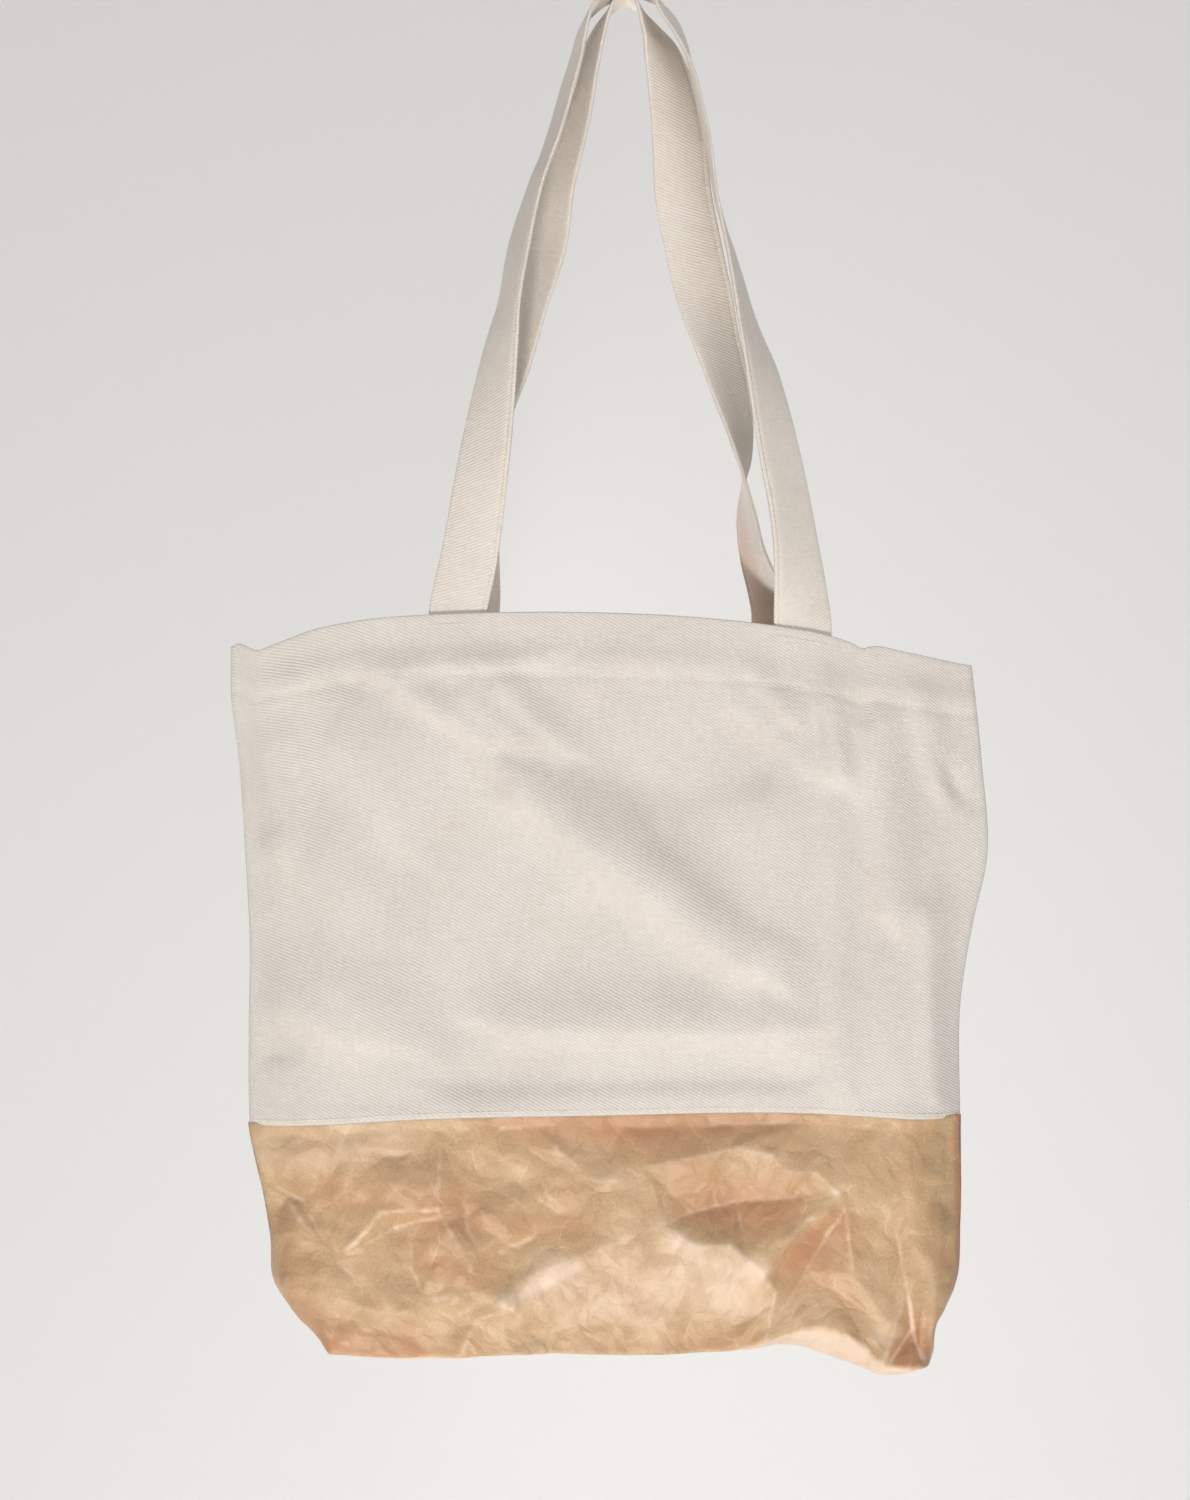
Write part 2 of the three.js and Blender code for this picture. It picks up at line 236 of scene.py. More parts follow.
# The cloth's thickness, the radius of its turned edges, the spacing of its points across, and where its
# flat edges lie.
CANVAS = 0.8
TURN = 0.45
COLUMN_PITCH = 2.4
CLOTH_LEFT = -198
CLOTH_RIGHT = 178


def make_mesh(name, points, faces, cloth=None, extra=None):
    """A mesh from points in millimetres. cloth is each point's place on the flat cloth."""
    mesh = bpy.data.meshes.new(name)
    mesh.from_pydata((np.reshape(points, (-1, 3)) * MM).tolist(), [], faces)
    mesh.polygons.foreach_set("use_smooth", [True] * len(mesh.polygons))
    if cloth is not None:
        flat = np.zeros((len(mesh.vertices), 3), np.float32)
        flat[:, :2] = np.reshape(cloth, (-1, 2))
        place = mesh.attributes.new("cloth", "FLOAT_VECTOR", "POINT")
        place.data.foreach_set("vector", flat.ravel())
    for key, values in (extra or {}).items():
        attribute = mesh.attributes.new(key, "FLOAT", "POINT")
        attribute.data.foreach_set("value", np.ravel(values).astype(np.float32))
    mesh.update()
    piece = bpy.data.objects.new(name, mesh)
    bpy.context.collection.objects.link(piece)
    return piece


def grid_faces(rows, columns, closed=False):
    """Faces of a regular grid of points. A closed grid joins its last column to its first."""
    faces = []
    for i in range(rows - 1):
        for j in range(columns if closed else columns - 1):
            k = (j + 1) % columns
            faces.append((i * columns + j, (i + 1) * columns + j, (i + 1) * columns + k, i * columns + k))
    return faces


def tube_faces(rings, sides):
    """Faces of a tube of rings, with a cap at each end."""
    faces = grid_faces(rings, sides, closed=True)
    last = (rings - 1) * sides
    faces.append(tuple(range(sides)))
    faces.append(tuple(last + k for k in reversed(range(sides))))
    return faces


def solidify(piece, thickness):
    thick = piece.modifiers.new("thickness", "SOLIDIFY")
    thick.thickness = thickness * MM
    thick.offset = 0
    return thick


def hem_depth(x):
    """The hem was turned by hand: it deepens from the left corner towards the middle."""
    return follow([(-200, 27), (-150, 33), (-120, 32), (-60, 34), (60, 34), (140, 32), (186, 30)], x)


def canvas_rows(x):
    """Drop and inset of each row of the panel at x: hem, top fold, outer layer, lower fold, turn-under."""
    deep = hem_depth(x)
    rows = [(mix(deep, TURN, t), 2 * TURN) for t in np.linspace(0, 1, 12)]
    for turn in (30, 60, 90, 120, 150):
        angle = math.radians(turn)
        rows.append((TURN - TURN * math.sin(angle) + 0 * x, TURN + TURN * math.cos(angle)))
    outer = np.concatenate([np.linspace(TURN, 40, 22), np.linspace(40, CANVAS_HEIGHT - 1, 92)[1:]])
    rows += [(drop + 0 * x, 0) for drop in outer]
    for turn in (45, 90, 135):
        angle = math.radians(turn)
        rows.append((CANVAS_HEIGHT - 1 + math.sin(angle) + 0 * x, TURN - TURN * math.cos(angle)))
    rows += [(CANVAS_HEIGHT - drop + 0 * x, 2 * TURN) for drop in (1, 4, 8)]
    return rows


def stitched_in(x, drop, deep):
    """How far the outer layer is drawn in along the hem's stitches, with a soft pucker at each one."""
    line = np.exp(-(((drop - deep + 3) / 1.3) ** 2))
    pucker = 0.2 * ripple(x, drop, 7, 5) + 0.8 * ripple(x, drop * 0.4, 15, 6)
    near = np.exp(-(((drop - deep + 1) / 9) ** 2))
    full = np.exp(-(((drop - deep + 11) / 6.5) ** 2))
    return 0.7 * line - pucker * near - 0.9 * full * np.clip(ripple(x, 0 * x, 70, 9) + 0.6, 0, 2)


def canvas_panel(name, side):
    u = np.linspace(-1, 1, int((CLOTH_RIGHT - CLOTH_LEFT) / COLUMN_PITCH))
    x = mix(CLOTH_LEFT, CLOTH_RIGHT, (u + 1) / 2)
    points, cloth = [], []
    for drop, inset in canvas_rows(x):
        row = layer(side, u, drop / CANVAS_HEIGHT, inset + 0 * x + stitched_in(x, drop, hem_depth(x)))
        points.append(with_rolled_edges(row, side))
        flat_y = drop if inset < TURN else -drop
        flat_x = np.concatenate([[x[0] - 3, x[0] - 1], x, [x[-1] + 1, x[-1] + 3]])
        cloth.append(np.stack([flat_x, np.resize(flat_y, flat_x.shape)], -1))
    points = np.array(points)
    faces = grid_faces(*points.shape[:2])
    if side > 0:
        faces = [face[::-1] for face in faces]
    panel = make_mesh(name, points, faces, np.array(cloth))
    solidify(panel, CANVAS)
    return panel


def with_rolled_edges(row, side):
    """Turns both ends of a row inwards, where the panel goes into its side seam."""
    ends = []
    for end, outward in ((row[0], -1), (row[-1], 1)):
        lip = end + (outward * 0.35, 0, 0)
        lip[1] = side * 0.75
        tail = end - (outward * 2.4, 0, 0)
        tail[1] = side * 0.45
        ends.append([tail, lip])
    return np.concatenate([ends[0], row, ends[1][::-1]])


def linear(colour):
    """A hex sRGB colour as linear RGBA."""
    parts = [int(colour[i:i + 2], 16) / 255 for i in (1, 3, 5)]
    return [p / 12.92 if p <= 0.04045 else ((p + 0.055) / 1.055) ** 2.4 for p in parts] + [1]


def add(tree, kind, links=None, **settings):
    """Adds a node with its settings. links gives each input a socket or a value."""
    node = tree.nodes.new(kind)
    for key, value in settings.items():
        setattr(node, key, value)
    for key, source in (links or {}).items():
        if isinstance(source, bpy.types.NodeSocket):
            tree.links.new(source, node.inputs[key])
        else:
            node.inputs[key].default_value = source
    return node


def new_material(name):
    material = bpy.data.materials.new(name)
    material.use_nodes = True
    material.node_tree.nodes.clear()
    return material, material.node_tree


def cotton_twill(name, light, shade, sheen):
    """Unbleached cotton twill, undyed: matt and slightly furry, so it has sheen and no gloss. Its fine
    diagonal ribs are drawn 1.5 mm apart, coarser than the real 0.7 mm, so that they show."""
    material, tree = new_material(name)
    place = add(tree, "ShaderNodeAttribute", attribute_name="cloth").outputs["Vector"]
    turned = add(tree, "ShaderNodeMapping", {"Vector": place, "Rotation": (0, 0, math.radians(63))})
    ribs = add(tree, "ShaderNodeTexWave", {
        "Vector": turned.outputs["Vector"], "Scale": 0.21, "Distortion": 0.6, "Detail": 1.0,
        "Detail Scale": 2.0}, wave_type="BANDS", bands_direction="X")
    slubs = add(tree, "ShaderNodeTexNoise", {
        "Vector": add(tree, "ShaderNodeMapping", {"Vector": place, "Scale": (0.5, 0.12, 1)}).outputs[0],
        "Scale": 1.0, "Detail": 3.0, "Roughness": 0.6})
    picks = add(tree, "ShaderNodeTexNoise", {
        "Vector": add(tree, "ShaderNodeMapping", {"Vector": place, "Scale": (0.12, 0.6, 1)}).outputs[0],
        "Scale": 1.0, "Detail": 3.0, "Roughness": 0.6})
    cloud = add(tree, "ShaderNodeTexNoise", {"Vector": place, "Scale": 0.02, "Detail": 2.0})
    weave = add(tree, "ShaderNodeMath", {0: slubs.outputs["Fac"], 1: picks.outputs["Fac"]}, operation="ADD")
    tone = add(tree, "ShaderNodeMath", {0: weave.outputs[0], 1: cloud.outputs["Fac"]}, operation="ADD")
    spread = add(tree, "ShaderNodeMapRange", {0: tone.outputs[0], 1: 0.9, 2: 2.1, 3: 0.0, 4: 1.0})
    colour = add(tree, "ShaderNodeMix", {
        0: spread.outputs[0], 6: linear(shade), 7: linear(light)}, data_type="RGBA").outputs[2]
    # Painted shade: where the painted-shade mask is set, on the back strap's lower ends, the colour is
    # mixed towards a warm brown.
    painted_shade_mask = add(tree, "ShaderNodeAttribute", attribute_name="painted_warm_shade").outputs["Fac"]
    colour = add(tree, "ShaderNodeMix", {
        0: painted_shade_mask, 6: colour, 7: linear("#dda47a")}, data_type="RGBA").outputs[2]
    groove = add(tree, "ShaderNodeMath", {0: ribs.outputs["Fac"], 1: weave.outputs[0]}, operation="ADD")
    bump = add(tree, "ShaderNodeBump", {"Height": groove.outputs[0], "Strength": 0.6, "Distance": 0.00026})
    rough = add(tree, "ShaderNodeMapRange", {0: ribs.outputs["Fac"], 1: 0.0, 2: 1.0, 3: 0.82, 4: 0.95})
    cloth = add(tree, "ShaderNodeBsdfPrincipled", {
        "Base Color": colour, "Roughness": rough.outputs[0], "Normal": bump.outputs[0],
        "Sheen Weight": sheen, "Sheen Roughness": 0.5, "Specular IOR Level": 0.25})
    add(tree, "ShaderNodeOutputMaterial", {"Surface": cloth.outputs[0]})
    return material


canvas_twill = cotton_twill("unbleached cotton twill", "#d9d4ce", "#c7bfb7", 0.15)

for wall_name, side in (("front", -1), ("back", 1)):
    panel = canvas_panel(f"{wall_name}_canvas", side)
    panel.data.materials.append(canvas_twill)
    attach(panel, "bag")
    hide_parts(f"{wall_name}_canvas_panel")


# ---- The kraft bottom ------------------------------------------------------------------------------
# One sheet of washable kraft paper: down the front, creased under the base and up the back, sewn up at
# the sides and boxed at the corners. Handling has crumpled it into flat facets between sharp creases.

KRAFT = 0.6
KRAFT_INSET = 1.75
KRAFT_PITCH = 1.3
OVERLAP = 9
BASE_ROWS = 36
# The paper's width and the drop of each wall, and how high its creases stand at the front and back.
PAPER_WIDTH = 350
PAPER_DROP = 130
FRONT_RELIEF = 1.4
BACK_RELIEF = 1.55

# Creases and hollows of the front: place across, drop below the hem, and height out of the wall.
FRONT_CREASES = [
    [(-114, 300, 2), (-103, 297, 4), (-93, 296, 5), (-88, 305, 5.5), (-81, 317, 5.8), (-75, 328, 6),
     (-68, 337, 6), (-60, 345, 5), (-61, 358, 3), (-58, 367, 2)],
    [(-108, 310, 2.5), (-98, 319, 3.5), (-81, 317, 5.8)],
    [(-60, 345, 5), (-60, 335, 5), (-43, 329, 6), (-24, 321, 6.5), (-6, 315, 7), (19, 305, 6)],
    [(-120, 339, 4), (-94, 342, 4), (-68, 337, 6)],
    [(-16, 283, 5), (-2, 283, 6), (10, 276, 6), (46, 270, 6), (55, 268, 6), (72, 273, 6), (79, 282, 5),
     (95, 284, 4)],
    [(19, 305, 6), (32, 315, 8), (51, 317, 9), (61, 326, 9), (68, 335, 9), (74, 348, 7), (79, 356, 4)],
    [(68, 335, 9), (90, 311, 5), (105, 294, 5), (95, 284, 4)],
    [(109, 302, 4), (113, 338, 3)],
    [(158, 310, 3), (158, 333, 3)],
    [(-180, 297, 1), (-167, 295, 3)],
    [(-138, 366, 3), (-120, 362, 3)],
    [(143, 354, -3), (126, 376, 5), (139, 379, 9), (151, 378, 7), (143, 354, -3)],
    [(143, 354, -3), (140, 334, -1), (134, 304, 0)],
    [(152, 352, 2.5), (150, 320, 3.5)],
    [(57, 371, 1), (70, 371, 5), (90, 371, 6), (108, 371, 5), (120, 371, 3)],
]
BACK_CREASES = [
    [(-140, 300, 3), (-112, 292, 6), (-84, 304, 7), (-62, 326, 7), (-48, 346, 4), (-46, 362, 2)],
    [(-62, 326, 7), (-30, 318, 7), (4, 302, 8), (34, 284, 6), (62, 278, 4)],
    [(4, 302, 8), (26, 324, 8), (58, 336, 7), (84, 352, 4)],
    [(58, 336, 7), (82, 312, 6), (112, 300, 4), (136, 304, 3)],
    [(-158, 330, 2), (-130, 338, 4), (-104, 356, 4)],
    [(120, 334, 3), (134, 352, 3)],
]
BACK_HOLLOWS = [
    (-120, 318, 0), (-90, 340, 0), (-20, 344, 0.5), (10, 348, 1), (-30, 290, 0), (-70, 286, 1),
    (40, 306, 0.5), (80, 288, 0), (96, 332, 1), (30, 362, 0), (-150, 285, 1), (150, 330, 0),
]
FRONT_HOLLOWS = [
    (55, 296, -1), (33, 300, 1), (83, 298, 1), (100, 320, 0), (-8, 268, 0.5), (-78, 300, 1),
    (-33, 300, 2.5), (-43, 310, 3), (-53, 318, 1.5), (-113, 320, 1), (-148, 318, 1), (-163, 293, 0.5),
    (20, 333, 4.5), (30, 353, 1), (50, 362, -0.5), (40, 340, 2), (8, 366, 0.5), (-33, 348, 2),
    (-13, 343, 2.5), (88, 343, 1.5), (108, 353, 1), (123, 313, 1.5), (138, 293, 1.5), (134, 352, 3),
    (-100, 370, 0), (-40, 371, 0), (-150, 350, 1), (-168, 330, 0), (150, 290, 1),
]


# Painted light on the front, then the back: patches painted pale as highlight (more than 0), and patches
# painted a darker brown as shade in hollows and folds (less than 0): both ends of each patch, its width and
# how strong it is.
FRONT_PAINTED_LIGHT = [
    (34, 326, 62, 352, 11, 0.3), (24, 312, 56, 330, 4, 0.3), (-34, 342, 8, 350, 20, 0.3),
    (8, 284, 60, 279, 9, 0.3), (72, 334, 104, 297, 4, 0.45), (118, 300, 122, 350, 6, 0.2),
    (-60, 345, -24, 326, 3, 0.5), (126, 362, 136, 358, 3, 0.5), (-176, 268, -120, 266, 9, 0.25),
    (-56, 256, 78, 258, 9, -0.5), (-8, 256, 26, 276, 11, -0.5), (-30, 290, -24, 318, 5, -0.4),
    (36, 301, 78, 306, 12, -0.8), (106, 310, 78, 330, 7, -0.8), (140, 366, 140, 378, 7, -1.6),
    (-150, 288, -84, 294, 7, -0.4), (-92, 304, -38, 310, 6, -0.6), (-98, 322, -68, 334, 7, -0.6),
    (-157, 366, -106, 370, 6, -0.8), (-170, 300, -168, 350, 4, -0.4), (156, 316, 162, 334, 3, -0.5),
    (167, 250, 167, 346, 2.4, -1.5), (84, 338, 108, 352, 9, -0.35), (-20, 366, 60, 368, 5, -0.3),
]
BACK_PAINTED_LIGHT = [
    (-104, 310, -70, 326, 6, 0.25), (-20, 310, 20, 304, 5, 0.2), (60, 338, 84, 350, 6, 0.25),
    (-150, 350, -90, 360, 9, -0.35), (-50, 345, 20, 334, 8, -0.4), (70, 290, 120, 294, 7, -0.35),
    (-140, 262, -60, 268, 9, -0.3), (130, 320, 140, 350, 8, -0.3),
]


def rubs_and_painted_light(side, x, drop):
    """How far each point is painted pale as highlight, or darker as shade; handling also rubs the ridges
    pale in thin lines.
    """
    total = soft_folds(FRONT_PAINTED_LIGHT if side < 0 else BACK_PAINTED_LIGHT, x, drop)
    for line in FRONT_CREASES if side < 0 else BACK_CREASES:
        for (x0, d0, h0), (x1, d1, h1) in zip(line, line[1:]):
            rub = 0.4 * np.clip((h0 + h1) / 8, 0, 1)
            ridge = soft_folds([(x0, d0, x1, d1, 0.8, rub)], x, drop)
            total += ridge * np.clip(0.5 + ripple(x, drop, 7, 31), 0, 1)
    return total


def creased(points, edges, x, y):
    """The height of a surface of flat facets between the points, which have the given edges."""
    flat = [Vector(p[:2]) for p in points]
    verts, _, faces, origin, _, _ = geometry.delaunay_2d_cdt(flat, edges, [], 0, 1e-4)
    height = np.array([np.mean([points[k][2] for k in source]) if source else 0 for source in origin])
    total = np.zeros_like(x)
    for a, b, c in faces:
        (ax, ay), (bx, by), (cx, cy) = verts[a], verts[b], verts[c]
        area = (bx - ax) * (cy - ay) - (cx - ax) * (by - ay)
        if abs(area) < 1e-6:
            continue
        wb = ((x - ax) * (cy - ay) - (cx - ax) * (y - ay)) / area
        wc = ((bx - ax) * (y - ay) - (x - ax) * (by - ay)) / area
        inside = (wb >= -1e-6) & (wc >= -1e-6) & (wb + wc <= 1 + 1e-6)
        total[inside] = (height[a] * (1 - wb - wc) + height[b] * wb + height[c] * wc)[inside]
    return total


def crumple(x, y, pitch, height, seed):
    """Random facets about pitch across."""
    rng = np.random.default_rng(seed)
    points = []
    for gx in np.arange(x.min() - 2 * pitch, x.max() + 2 * pitch, pitch):
        for gy in np.arange(y.min() - 2 * pitch, y.max() + 2 * pitch, pitch):
            jitter = rng.uniform(-0.45, 0.45, 2) * pitch
            points.append((gx + jitter[0], gy + jitter[1], rng.uniform(-height, height)))
    return creased(points, [], x, y)


def main_creases(side, x, drop):
    points, edges = [], []
    for line in FRONT_CREASES if side < 0 else BACK_CREASES:
        for k, point in enumerate(line):
            if k:
                edges.append((len(points) - 1, len(points)))
            points.append(point)
    points += FRONT_HOLLOWS if side < 0 else BACK_HOLLOWS
    points += [(px, py, 0) for px in range(-230, 231, 46) for py in (225, 256)]
    points += [(px, 400, 0) for px in range(-230, 231, 46)]
    points += [(px, py, 0) for px in (-195, 182) for py in (275, 300, 330, 360)]
    return creased(points, edges, x, drop)


def softened(height, passes):
    """Rounds each crease off as far as paper of this thickness does."""
    for _ in range(passes):
        padded = np.pad(height, 1, mode="edge")
        ring = padded[:-2, 1:-1] + padded[2:, 1:-1] + padded[1:-1, :-2] + padded[1:-1, 2:]
        height = height / 2 + ring / 8
    return height


def kraft_wall(side, u, s):
    """One wall of the pouch, with its crumpling, how sharply each point is creased, and its painted
    highlight and shade.
    """
    uu, ss = np.meshgrid(u, s)
    flat = wall(side, uu, ss)
    x, drop = flat[..., 0], drop_at(ss)
    if side < 0:
        relief = FRONT_RELIEF
        rough = mix(1.35, 0.45, ease((x + 60) / 60))
    else:
        relief = BACK_RELIEF
        rough = 0.9
    height = relief * main_creases(side, x, drop) - 2 + rough * crumple(x, drop, 25, 2.7, 3)
    height = height + rough * crumple(x, drop, 13, 1.7, 6 + side) + crumple(x, drop, 6.5, 0.4, 16 + side)
    # The crumpling dies out at the join and beside the side seams, over a narrower strip near the foot.
    beside = mix(0.05, 0.02, ease((drop - 340) / 25))
    free = ease((drop - CANVAS_HEIGHT + 1) / 9) * ease((1 - np.abs(uu)) / beside)
    height = softened(height * free, 1)
    round_it = softened(height, 3)
    points = layer(side, uu, ss, KRAFT_INSET - height)
    # The part under the canvas is drawn in, each side has a groove at its seam, and it fills out beside it.
    hidden = 1 - ease((drop - CANVAS_HEIGHT + 6) / 5)
    groove = ease((np.abs(uu) - 0.985) / 0.015)
    full = 3.4 * ease((np.abs(uu) - 0.8) / 0.2) * (1 - hidden) * ease((KRAFT_HEIGHT + 238 - drop) / 30)
    points[..., 0] -= np.sign(uu) * (hidden * 9 * np.abs(uu) + groove * 1.5 - full)
    points[:, [0, -1], 1] = 0
    return points, np.abs(height - round_it), rubs_and_painted_light(side, x, drop)


def kraft_pouch():
    u = np.linspace(-1, 1, int(PAPER_WIDTH / KRAFT_PITCH))
    s = 1 + np.linspace(-OVERLAP / KRAFT_HEIGHT, 1, int(PAPER_DROP / KRAFT_PITCH))
    s[s < 1] = 1 - (1 - s[s < 1]) * KRAFT_HEIGHT / CANVAS_HEIGHT
    front, front_fold, front_wear_and_light = kraft_wall(-1, u, s)
    back, back_fold, back_wear_and_light = kraft_wall(1, u, s)
    back[:, [0, -1]] = front[:, [0, -1]]
    across = np.linspace(0, 1, BASE_ROWS)[1:-1, None, None]
    base = mix(front[-1][None], back[-1][None], across)
    x = base[..., 0]
    bowed = 4 * across[..., 0] * (1 - across[..., 0])
    sag = follow([
        (-153, 1), (-125, 4), (-60, 2.5), (30, 2), (62, 3), (74, 4), (92, 8), (112, 12), (138, 8), (153, 1),
    ], x)
    belly = bowed ** 0.7 * sag
    fine = crumple(x, base[..., 1], 17, 1.1, 14) + crumple(x, base[..., 1], 8, 0.3, 15)
    base_fold = softened(fine * bowed ** 0.5, 2)
    sewn = ease((1 - np.abs(u)) / 0.02)
    base[..., 2] -= (belly - base_fold) * sewn
    points = np.concatenate([front, base, back[::-1]])
    # The base's crease value is raised by 0.42 all over, which paints it pale: painted highlight for its
    # underside, lit from below.
    base_crease_and_highlight = 0.42 + np.abs(base_fold - softened(base_fold, 3))
    folds = np.concatenate([front_fold, base_crease_and_highlight, back_fold[::-1]])
    # The base also gets 0.6 of painted highlight all over.
    wear_and_painted_light = np.concatenate([front_wear_and_light, 0.6 + 0 * base_fold, back_wear_and_light[::-1]])
    flat_y = np.cumsum([0] + [np.linalg.norm(b - a) for a, b in zip(points[:-1, 100], points[1:, 100])])
    flat = np.stack(np.meshgrid(u * 190, flat_y), -1)
    # The crease value carries the painted highlight of the base as well as the sharpness of each crease.
    pouch = make_mesh("kraft_pouch", points, grid_faces(*points.shape[:2]), flat,
                      {"crease": folds, "wear_and_painted_light": wear_and_painted_light})
    weld_sides(pouch)
    solidify(pouch, KRAFT)
    return pouch


def weld_sides(piece):
    """Sews the sheet's side edges together by merging the points that meet there."""
    mesh = bmesh.new()
    mesh.from_mesh(piece.data)
    rim = [v for v in mesh.verts if v.is_boundary]
    bmesh.ops.remove_doubles(mesh, verts=rim, dist=0.05 * MM)
    bmesh.ops.dissolve_degenerate(mesh, edges=mesh.edges, dist=0.001 * MM)
    mesh.to_mesh(piece.data)
    mesh.free()


def kraft_paper():
    """Washable kraft paper, pressed and latex-bonded: leathery, with a slight gloss where it is pressed
    flat. Its fibres mottle the colour, small facets catch the light, and handling rubs the ridges pale.
    Pale patches and the pale base are painted highlight, and darker russet patches are painted shade."""
    material, tree = new_material("creased kraft paper")
    place = add(tree, "ShaderNodeAttribute", attribute_name="cloth").outputs["Vector"]
    crease = add(tree, "ShaderNodeAttribute", attribute_name="crease").outputs["Fac"]
    fibre = add(tree, "ShaderNodeTexNoise", {
        "Vector": place, "Scale": 0.8, "Detail": 6.0, "Roughness": 0.72}).outputs["Fac"]
    cloud = add(tree, "ShaderNodeTexNoise", {
        "Vector": place, "Scale": 0.045, "Detail": 4.0, "Roughness": 0.55}).outputs["Fac"]
    tone = add(tree, "ShaderNodeMath", {0: fibre, 1: 1.3, 2: cloud}, operation="MULTIPLY_ADD").outputs[0]
    spread = add(tree, "ShaderNodeMapRange", {0: tone, 1: 0.85, 2: 1.45, 3: 0.0, 4: 1.0}).outputs[0]
    paper = add(tree, "ShaderNodeMix", {
        0: spread, 6: linear("#ab8862"), 7: linear("#c9aa85")}, data_type="RGBA").outputs[2]
    bent = add(tree, "ShaderNodeTexNoise", {"Vector": place, "Scale": 0.06, "Detail": 2.0}).outputs["Color"]
    pushed = add(tree, "ShaderNodeVectorMath", {0: bent, 3: 14.0}, operation="SCALE").outputs[0]
    warped = add(tree, "ShaderNodeVectorMath", {0: place, 1: pushed}, operation="ADD").outputs[0]
    large = add(tree, "ShaderNodeTexVoronoi", {"Vector": warped, "Scale": 0.032},
                feature="DISTANCE_TO_EDGE", voronoi_dimensions="2D").outputs["Distance"]
    small = add(tree, "ShaderNodeTexVoronoi", {"Vector": warped, "Scale": 0.08},
                feature="DISTANCE_TO_EDGE", voronoi_dimensions="2D").outputs["Distance"]
    edge = add(tree, "ShaderNodeMapRange", {0: large, 1: 0.0, 2: 0.02, 3: 0.3, 4: 0.0}).outputs[0]
    some = add(tree, "ShaderNodeMapRange", {0: cloud, 1: 0.5, 2: 0.62, 3: 0.0, 4: 1.0}).outputs[0]
    line = add(tree, "ShaderNodeMath", {0: edge, 1: some}, operation="MULTIPLY").outputs[0]
    # Painted highlight: a high crease value, as on the whole base, mixes the paper towards pale.
    ridge = add(tree, "ShaderNodeMapRange", {0: crease, 1: 0.08, 2: 0.45, 3: 0.0, 4: 0.6}).outputs[0]
    rub = add(tree, "ShaderNodeMath", {0: line, 1: ridge}, operation="MAXIMUM").outputs[0]
    # Painted light: this point value holds the painted highlight and shade patches, together with the pale
    # ridge lines.
    wear_and_painted_light = add(tree, "ShaderNodeAttribute", attribute_name="wear_and_painted_light").outputs["Fac"]
    uneven = add(tree, "ShaderNodeMapRange", {0: cloud, 1: 0.35, 2: 0.65, 3: 0.7, 4: 1.3}).outputs[0]
    patches = add(tree, "ShaderNodeMath", {0: wear_and_painted_light, 1: uneven}, operation="MULTIPLY").outputs[0]
    # Painted shade: below 0 the paper is mixed towards a darker russet.
    painted_shade = add(tree, "ShaderNodeMapRange", {0: patches, 1: -1.0, 2: 0.0, 3: 0.75, 4: 0.0}).outputs[0]
    brown = add(tree, "ShaderNodeMix", {
        0: painted_shade, 6: paper, 7: linear("#b37c58")}, data_type="RGBA").outputs[2]
    # Painted highlight: above 0 the paper is mixed towards a pale pinkish white, along with the pale ridge
    # lines.
    rubbed_and_highlight = add(tree, "ShaderNodeMapRange", {0: patches, 1: 0.0, 2: 1.0, 3: 0.0, 4: 0.8}).outputs[0]
    pale = add(tree, "ShaderNodeMath", {0: rub, 1: rubbed_and_highlight}, operation="MAXIMUM").outputs[0]
    paper_with_rubs_and_highlight = add(tree, "ShaderNodeMix", {
        0: pale, 6: brown, 7: linear("#e8d3c0")}, data_type="RGBA").outputs[2]
    halved = add(tree, "ShaderNodeMath", {0: small, 1: 0.4}, operation="MULTIPLY").outputs[0]
    facets = add(tree, "ShaderNodeMath", {0: large, 1: halved}, operation="ADD").outputs[0]
    folded = add(tree, "ShaderNodeBump", {"Height": facets, "Strength": 0.7, "Distance": 0.0034})
    grain = add(tree, "ShaderNodeBump", {
        "Height": fibre, "Strength": 0.3, "Distance": 0.0004, "Normal": folded.outputs[0]})
    rough = add(tree, "ShaderNodeMapRange", {0: fibre, 1: 0.3, 2: 0.7, 3: 0.44, 4: 0.58}).outputs[0]
    sheet = add(tree, "ShaderNodeBsdfPrincipled", {
        "Base Color": paper_with_rubs_and_highlight, "Roughness": rough, "Normal": grain.outputs[0], "Specular IOR Level": 0.6})
    add(tree, "ShaderNodeOutputMaterial", {"Surface": sheet.outputs[0]})
    return material


pouch = kraft_pouch()
pouch.data.materials.append(kraft_paper())
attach(pouch, "bag")
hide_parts("kraft_bottom")


# ---- The handles -----------------------------------------------------------------------------------
# Each handle is one strip of the same twill, folded to 29 mm wide and about 2.4 mm thick and stitched
# along its open edge. Its ends are sewn flat inside the hem, and it turns on its way up to the hook.

HINGE_Z = HEM_Z - 0.95
STRAP_SEED = 40
